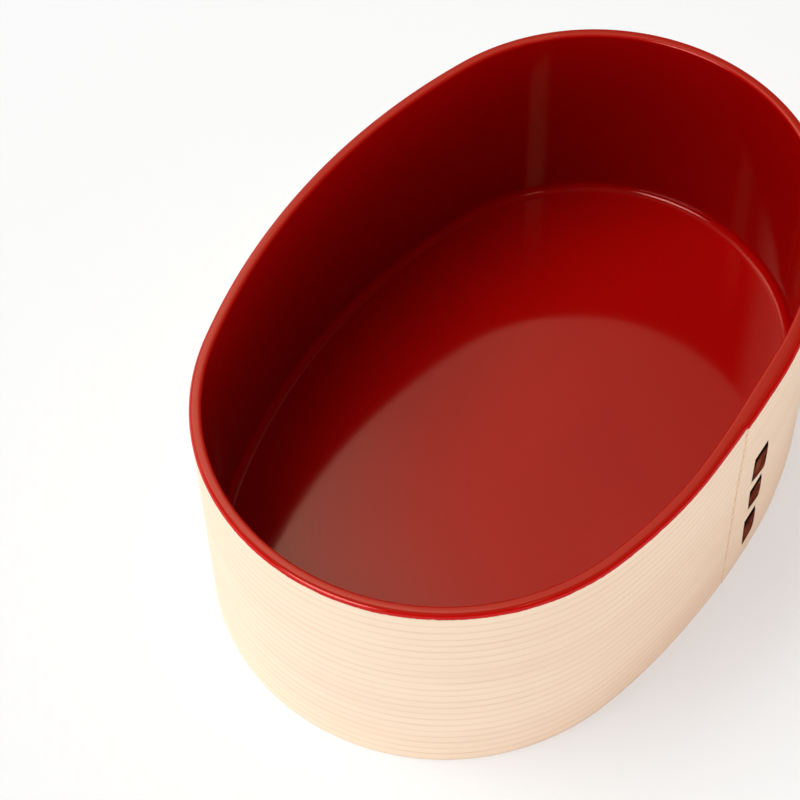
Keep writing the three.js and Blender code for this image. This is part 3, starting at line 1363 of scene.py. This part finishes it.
@dataclass
class LacquerCoat(Piece):
    """The red film: over the floor, up the inside wall, over the rim and a little way down.

    The hidden and the shown steps are those of the cove and of the rim's inner and outer rounding.
    The edge is uneven where it lies outside a share of the outer rounding. Each edge wave gives its
    share of the unevenness and its length.
    """

    plank: float = 2.4 * MM
    floor: float = 8.5 * MM
    top: float = 66.5 * MM
    film: float = 0.25 * MM
    gap: float = 0.05 * MM
    cove: float = 2 * MM
    rim_round: float = 1 * MM
    inner_round: float = 0.35 * MM
    wrap: float = 1.35 * MM
    outer_film: float = 0.1 * MM
    edge_film: float = 0.03 * MM
    edge_lip: float = 0.02 * MM
    hold: float = 0.3 * MM
    pitch: float = 0.36 * MM
    hidden_steps: tuple[int, int, int] = (4, 3, 4)
    shown_steps: tuple[int, int, int] = (9, 7, 9)
    border: float = 0.6 * MM
    edge_wave: float = 0.13 * MM
    edge_waves: tuple[Pair, ...] = ((1.0, 5 * MM), (0.7, 1.3 * MM), (1.3, 0.8 * MM))
    edge_reach: float = 0.5 * MM
    nick: float = 1 * MM
    nick_length: float = 2.4 * MM
    nick_rarity: float = 0.42
    nick_seed: Pair = (3, 9)
    outside_share: float = -0.6
    brushed_lit_from: float = 0.08 * MM
    brushed_lit_reach: float = 0.4 * MM
    ease: float = 0.9 * MM

    def section(self) -> Profile:
        """Lists the coat's section: up the hidden side and over to the outside, then back.

        Returns:
            The section's points.
        """
        inner = -self.plank - self.film - self.gap
        cove_middle = (inner - self.cove, self.floor + self.cove)
        shoulder = self.top - self.gap - self.film - self.rim_round
        inside = (-self.plank + self.inner_round, shoulder + self.rim_round - self.inner_round)
        outside = (-self.rim_round, shoulder)
        hidden_cove = (self.cove + self.film,) * 2
        hidden_rim = (self.inner_round + self.gap,) * 2
        hidden_out = (self.rim_round + self.edge_film / 2, self.rim_round + self.gap)
        shown_out = (self.rim_round + self.outer_film, self.rim_round + self.gap + self.film)
        shown_in = (self.inner_round + self.gap + self.film,) * 2
        edge = self.top - self.wrap
        hidden, shown = self.hidden_steps, self.shown_steps
        return [
            *arc_points(cove_middle, hidden_cove, -90, 0, hidden[0]),
            *arc_points(inside, hidden_rim, 180, 90, hidden[1]),
            *arc_points(outside, hidden_out, 90, 0, hidden[2]),
            (self.edge_film / 2, edge),
            (self.edge_film, edge - self.edge_lip),
            (self.outer_film, edge + self.edge_lip),
            *arc_points(outside, shown_out, 0, 90, shown[2]),
            *arc_points(inside, shown_in, 90, 180, shown[1]),
            (inner, inside[1] - self.hold),
            (inner, self.floor + self.cove + self.hold),
            *arc_points(cove_middle, (self.cove, self.cove), 0, -90, shown[0]),
        ]

    def edge_lift(self, turn: float) -> float:
        """Finds how unevenly the brushed lower edge runs.

        Args:
            turn: The turn of the wall.

        Returns:
            How much higher than even the edge is there.
        """
        at = OVAL.along(turn)
        wave = sum(
            share * noise.noise(Vector((at / length, length / MM, 0)))
            for share, length in self.edge_waves
        )
        nicks = noise.noise(Vector((at / self.nick_length, *self.nick_seed)))
        return self.edge_wave * wave + self.nick * max(0.0, nicks - self.nick_rarity)

    def build(self, bm: bmesh.types.BMesh) -> None:
        """Sweeps the coat, closes its floor and roughens its outer edge.

        Args:
            bm: The mesh to fill.
        """
        OVAL.sweep(bm, self.section(), self.pitch, is_ring=False)
        edge = self.top - self.wrap
        layer = bm.verts.layers.float.new(BRUSHED_LIT_EDGE)
        for vert in bm.verts:
            turn, out = OVAL.locate(vert.co.x, vert.co.y)
            height = vert.co.z
            if out > self.outside_share * self.rim_round:
                # The brushed edge mask: dull film there, and painted light that brightens its red.
                down = (self.top - self.brushed_lit_from - height) / self.brushed_lit_reach
                vert[layer] = min(1.0, max(0.0, down))
                share = 1 - max(0.0, height - edge) / self.edge_reach
                vert.co.z += min(1.0, max(0.0, share)) * self.edge_lift(turn)
            vert.co = LAP.place(vert.co, ease=self.ease)
        close_faces(bm, self.border)


@dataclass
class BarkLacing(Piece):
    """The strip of cherry bark: out through a slit, up the face and in again, three times over.

    Each key gives a share of the way from a span's foot to its head and how far the strip stands
    outside the lap's face there.
    """

    thickness: float = 0.45 * MM
    crown: float = 0.06 * MM
    crown_power: int = 4
    waver: float = 0.03 * MM
    waver_across: float = 6
    waver_up: float = 1.1 * MM
    waver_seed: float = 2
    keys: tuple[Pair, ...] = (
        (-0.06, -1.9 * MM),
        (-0.01, -1.1 * MM),
        (0.03, -0.1 * MM),
        (0.1, 0.12 * MM),
        (0.35, 0.2 * MM),
        (0.6, 0.2 * MM),
        (0.82, 0.12 * MM),
        (0.92, -0.1 * MM),
        (0.98, -0.6 * MM),
        (1.02, -1.1 * MM),
        (1.06, -1.9 * MM),
    )
    tail: float = 4 * MM
    margin: float = 0.05 * MM
    slit_shade_from: float = 0.19 * MM
    slit_shade_depth: float = 0.12 * MM
    across_steps: int = 10
    row_steps: int = 5
    chart_name: str = "strip"

    def rows(self) -> list[tuple[Vector, Vector]]:
        """Lists the strip's rows along its way.

        Returns:
            Each row's two ends, each as its place along the box, its depth and its height.
        """
        rows = []
        for stitched in STITCHES:
            left_edge = stitched.foot_left, stitched.head_left
            right_edge = stitched.foot_right, stitched.head_right
            for share, depth in self.keys:
                left = self.between(*left_edge, share, depth, self.margin)
                right = self.between(*right_edge, share, depth, -self.margin)
                rows.append((left, right))
        left, right = rows[-1]
        rows.append((left + self.tail * UP, right + self.tail * UP))
        return rows

    def between(self, foot: Pair, head: Pair, share: float, depth: float, inset: float) -> Vector:
        """Finds a point on one edge of the strip.

        Args:
            foot: The edge's foot, along the box and up.
            head: The edge's head.
            share: How far from foot to head.
            depth: How far outside the lap's face, so below zero in the wood.
            inset: How far the edge stays inside its bed.

        Returns:
            The place along the box, the depth and the height.
        """
        x = foot[0] + (head[0] - foot[0]) * share + inset
        z = foot[1] + (head[1] - foot[1]) * share
        return Vector((x, depth, z))

    def smooth_rows(self) -> list[tuple[Vector, Vector]]:
        """Fills in the rows on a smooth curve through the listed ones.

        Returns:
            All the rows, in the same form.
        """
        rows = self.rows()
        filled = []
        for index in range(len(rows) - 1):
            before = rows[max(index - 1, 0)]
            start, end = rows[index], rows[index + 1]
            after = rows[min(index + 2, len(rows) - 1)]
            for step in range(self.row_steps):
                share = step / self.row_steps
                filled.append(
                    tuple(
                        curve_point(before[side], start[side], end[side], after[side], share)
                        for side in (0, 1)
                    )
                )
        filled.append(rows[-1])
        return filled

    def unevenness(self, share: float, z: float) -> float:
        """Gives how much the strip wavers in depth at a share of its width and a height."""
        at = Vector((share * self.waver_across, z / self.waver_up, self.waver_seed))
        return self.waver * noise.noise(at)

    def seat(self, place: Vector) -> Vector:
        """Puts a point, given along the box, in depth and up, onto the lap's face."""
        turn = FULL_TURN - math.acos((place.x - OVAL.widest) / OVAL.side_radius)
        return OVAL.point(turn, LAP.face(LAP.past(turn), place.z) + place.y, place.z)

    def build(self, bm: bmesh.types.BMesh) -> None:
        """Draws the strip out row by row, then gives it its thickness.

        Args:
            bm: The mesh to fill.
        """
        steps = self.across_steps
        layer = bm.loops.layers.uv.new(self.chart_name)
        slit_shade_layer = bm.verts.layers.float.new(SLIT_SHADE_MASK)
        shares = [step / steps for step in range(steps + 1)]
        rows = self.smooth_rows()
        way = 0.0
        chart = {}
        edges: list[bmesh.types.BMEdge] = []
        last = None
        for left, right in rows:
            if last is not None:
                way += ((left + right) / 2 - last).length
            last = (left + right) / 2
            if not edges:
                verts = [bm.verts.new() for _ in shares]
                edges = [bm.edges.new(pair) for pair in zip(verts, verts[1:])]
            else:
                drawn = bmesh.ops.extrude_edge_only(bm, edges=edges)["geom"]
                edges = [item for item in drawn if isinstance(item, bmesh.types.BMEdge)]
                edges = [edge for edge in edges if all(vert in drawn for vert in edge.verts)]
                verts = [item for item in drawn if isinstance(item, bmesh.types.BMVert)]
                order = {vert: index for index, vert in enumerate(verts)}
                ends = {edge: [order[vert] for vert in edge.verts] for edge in edges}
                edges = [edge for edge in edges if abs(ends[edge][0] - ends[edge][1]) == 1]
            for vert, share in zip(verts, shares):
                place = left.lerp(right, share)
                place.y += self.crown * (1 - (2 * share - 1) ** self.crown_power) - self.crown
                place.y += self.unevenness(share, place.z)
                vert.co = self.seat(place)
                # Painted shade mask: it grows as the strip sinks below the face towards and into its
                # slits.
                vert[slit_shade_layer] = min(1.0, max(0.0, (self.slit_shade_from - place.y) / self.slit_shade_depth))
                chart[vert] = (share * (right - left).length, way)
        for face in bm.faces:
            for loop in face.loops:
                loop[layer].uv = chart[loop.vert]
        bmesh.ops.recalc_face_normals(bm, faces=bm.faces)
        if sum(face.normal.y for face in bm.faces) > 0:
            bmesh.ops.reverse_faces(bm, faces=bm.faces)
        bmesh.ops.solidify(bm, geom=bm.faces[:], thickness=self.thickness)
        bmesh.ops.recalc_face_normals(bm, faces=bm.faces)


def curve_point(
    before: Vector, start: Vector, end: Vector, after: Vector, share: float
) -> Vector:
    """Finds a point on the smooth curve through four others.

    Args:
        before: The point that the curve comes from.
        start: The point that the share counts from.
        end: The point that the share counts to.
        after: The point that the curve goes on to.
        share: How far from start to end.

    Returns:
        The point.
    """
    square, cube = share * share, share**3
    return 0.5 * (
        2 * start
        + (end - before) * share
        + (2 * before - 5 * start + 4 * end - after) * square
        + (3 * start - before - 3 * end + after) * cube
    )


# Studio


@dataclass(frozen=True)
class SoftLight:
    """A square lamp, by its bearing and rise in degrees and the share of the light it gives."""

    name: str
    bearing: float
    rise: float
    share: float
    size: float
    colour: Triple
    is_mirrored: bool = True
    distance: float = 3.0

    def make(self) -> None:
        """Hangs the lamp and points it at the box."""
        bearing, rise = math.radians(self.bearing), math.radians(self.rise)
        level = math.cos(rise)
        away = Vector((math.cos(bearing) * level, math.sin(bearing) * level, math.sin(rise)))
        lamp = bpy.data.lights.new(self.name, "AREA")
        lamp.shape = "SQUARE"
        lamp.size = self.size
        lamp.color = self.colour
        lamp.energy = self.share * (math.pi * self.distance) ** 2 / math.sin(rise)
        hung = bpy.data.objects.new(self.name, lamp)
        hung.visible_glossy = self.is_mirrored
        aim = away.to_track_quat("Z", "Y").to_matrix().to_4x4()
        hung.matrix_world = Matrix.Translation(away * self.distance) @ aim
        bpy.context.scene.collection.objects.link(hung)


@dataclass
class Studio:
    """The plain white table, the soft lamps and the white surround.

    The fill lights the piece, stronger from low down and from one side. The glow and the spot show
    only in the gloss. The glow rises towards one direction, with a brighter patch at its middle,
    and fades below a height and away from the side beyond the box.
    """

    floor_size: float = 6.0
    floor_colour: Colour = (0.97, 0.97, 0.97, 1)
    floor_roughness: float = 0.8
    floor_white: float = 0.45
    fill: Colour = (1.0, 0.87, 0.87, 1)
    low_fill: float = 2.75
    high_fill: float = 0.22
    low_reach: float = 0.4
    low_from: Triple = (0.3, -0.95, 0.0)
    low_tilt: float = 0.2
    glow: Colour = (2.0, 1.0, 0.70, 1)
    glow_from: Triple = (-0.508, 0.609, 0.609)
    glow_rise: Pair = (0.20, 0.46)
    glow_levels: Pair = (0.04, 0.85)
    glow_top: Pair = (0.44, 0.54)
    glow_top_level: float = 1.2
    beyond: Triple = (0.823, 0.568, 0.0)
    beyond_reach: Pair = (0.14, 0.36)
    beyond_levels: Pair = (0.04, 1.0)
    glow_height: Pair = (0.35, 0.6)
    height_levels: Pair = (0.15, 1.0)
    spot_from: Triple = (-0.918, 0.157, 0.361)
    spot_reach: Pair = (0.935, 0.975)
    spot: float = 6.0
    spot_tint: Colour = (1.8, 1.05, 0.95, 1)
    lamps: tuple[SoftLight, ...] = (
        SoftLight("key_lamp", 127, 60, 0.72, 2.0, (0.9, 1.0, 1.0), is_mirrored=False),
        SoftLight("left_card", 119, 49, 0.008, 0.36, (1.0, 0.42, 0.2)),
        SoftLight("right_card", -114, 48, 0.018, 0.36, (1.0, 0.42, 0.22)),
    )

    def make_floor(self) -> None:
        """Lays the table."""
        bm = bmesh.new()
        bmesh.ops.create_grid(bm, x_segments=1, y_segments=1, size=self.floor_size / 2)
        mesh = bpy.data.meshes.new("table_top")
        bm.to_mesh(mesh)
        bm.free()
        table = bpy.data.objects.new("table_top", mesh)
        bpy.context.scene.collection.objects.link(table)
        material = bpy.data.materials.new("white_table")
        material.use_nodes = True
        nodes = material.node_tree.nodes
        shader = nodes["Principled BSDF"]
        shader.inputs["Base Color"].default_value = self.floor_colour
        shader.inputs["Roughness"].default_value = self.floor_roughness
        shader.inputs["Specular IOR Level"].default_value = 0.0
        bench = NodeBench(material.node_tree)
        path = bench.add("ShaderNodeLightPath").outputs
        share = bench.sum("MULTIPLY", path["Is Camera Ray"], self.floor_white)
        white = bench.add("ShaderNodeEmission")
        layers = {0: share, 1: shader.outputs[0], 2: white.outputs[0]}
        mixed = bench.add("ShaderNodeMixShader", layers)
        bench.feed(nodes["Material Output"].inputs["Surface"], mixed.outputs[0])
        mesh.materials.append(material)

    def make_surround(self) -> None:
        """Sets the world: white to the camera, a pale fill on the piece and a glow in its gloss."""
        world = bpy.data.worlds.new("surround")
        world.use_nodes = True
        bpy.context.scene.world = world
        bench = NodeBench(world.node_tree)
        backdrop = world.node_tree.nodes["Background"]
        path = bench.add("ShaderNodeLightPath").outputs
        seen = bench.sum("MAXIMUM", path["Is Camera Ray"], path["Is Transmission Ray"])
        heading = bench.add("ShaderNodeTexCoord").outputs["Generated"]
        near_glow, away, near_spot, near_low = (
            bench.dot(heading, way)
            for way in (self.glow_from, self.beyond, self.spot_from, self.low_from)
        )
        rise = bench.spread(near_glow, *self.glow_rise, self.glow_levels)
        top = bench.spread(near_glow, *self.glow_top, (0.0, self.glow_top_level))
        height = bench.split(heading)[2]
        kept = bench.sum(
            "MULTIPLY",
            bench.spread(away, *self.beyond_reach, self.beyond_levels),
            bench.spread(height, *self.glow_height, self.height_levels),
        )
        in_spot = bench.spread(near_spot, *self.spot_reach)
        spot = bench.sum("MULTIPLY", in_spot, self.spot)
        mirrored = bench.sum("MULTIPLY_ADD", bench.sum("ADD", rise, top), kept, spot)
        tint = bench.blend(in_spot, self.glow, self.spot_tint)
        level = bench.spread(height, 0.0, self.low_reach, (self.low_fill, self.high_fill))
        fill = bench.sum("MULTIPLY", level, bench.sum("MULTIPLY_ADD", near_low, self.low_tilt, 1.0))
        is_gloss = path["Is Glossy Ray"]
        colour = bench.blend(is_gloss, self.fill, tint)
        bench.feed(backdrop.inputs["Color"], bench.blend(seen, colour, (1, 1, 1, 1)))
        force = bench.add("ShaderNodeMix", {"Factor": is_gloss, "A": fill, "B": mirrored})
        shown = bench.add("ShaderNodeMix", {"Factor": seen, "A": force.outputs["Result"], "B": 1.0})
        bench.feed(backdrop.inputs["Strength"], shown.outputs["Result"])

    def make(self) -> None:
        """Builds the studio."""
        self.make_floor()
        self.make_surround()
        for lamp in self.lamps:
            lamp.make()
        bpy.context.scene.view_settings.view_transform = "Standard"


@dataclass(frozen=True)
class Viewpoint:
    """The camera: where it looks, from where, how it is rolled and how long its lens is."""

    bearing: float = -55.354
    rise: float = 54.814
    roll: float = -1.873
    distance: float = 0.5945
    target: Triple = (-0.0010, 0.03407, 0.0)
    lens: float = 104.264
    sensor: float = 36.0

    def make(self) -> None:
        """Places the camera and makes it the scene's."""
        angles = self.bearing, self.rise, self.roll
        bearing, rise, roll = (math.radians(angle) for angle in angles)
        level = math.cos(rise)
        back = Vector((math.sin(bearing) * level, -math.cos(bearing) * level, math.sin(rise)))
        right = (-back).cross(UP).normalized()
        up = right.cross(-back)
        rolled_right = right * math.cos(roll) + up * math.sin(roll)
        rolled_up = up * math.cos(roll) - right * math.sin(roll)
        data = bpy.data.cameras.new("camera")
        data.lens = self.lens
        data.sensor_width = self.sensor
        data.sensor_fit = "HORIZONTAL"
        camera = bpy.data.objects.new("camera", data)
        turn = Matrix((rolled_right, rolled_up, back)).transposed().to_4x4()
        camera.matrix_world = Matrix.Translation(Vector(self.target) + back * self.distance) @ turn
        bpy.context.scene.collection.objects.link(camera)
        bpy.context.scene.camera = camera


def main() -> None:
    """Builds the studio and every piece of the box."""
    logging.basicConfig(level=logging.INFO, format="%(name)s %(message)s")
    Viewpoint().make()
    Studio().make()
    effects = Effects()
    plank = CedarFinish("plank_cedar", effects, chart="plank", perimeter=OVAL.perimeter)
    board = CedarFinish(
        "board_cedar", effects, roughness=0.55, spacing=3.2 * MM, wander=9 * MM, seed=4.0
    )
    bark = BarkFinish("cherry_bark", effects)
    putty = PuttyFinish("brown_putty", effects)
    lacquer = LacquerFinish("red_lacquer", effects)
    pieces = [
        SideBand("bent_plank", "side_band", Slot.CEDAR, plank),
        BottomBoard("base_board", "bottom_board", Slot.CEDAR, board),
        BarkLacing("cherry_bark_lacing", "bark_lacing", Slot.BARK, bark),
        CornerPutty("putty_cove", "corner_putty", Slot.PUTTY, putty),
        LacquerCoat("lacquer_coat", "red_lacquer", Slot.LACQUER, lacquer),
    ]
    for piece in pieces:
        piece.finish_object()


if __name__ == "__main__":
    main()
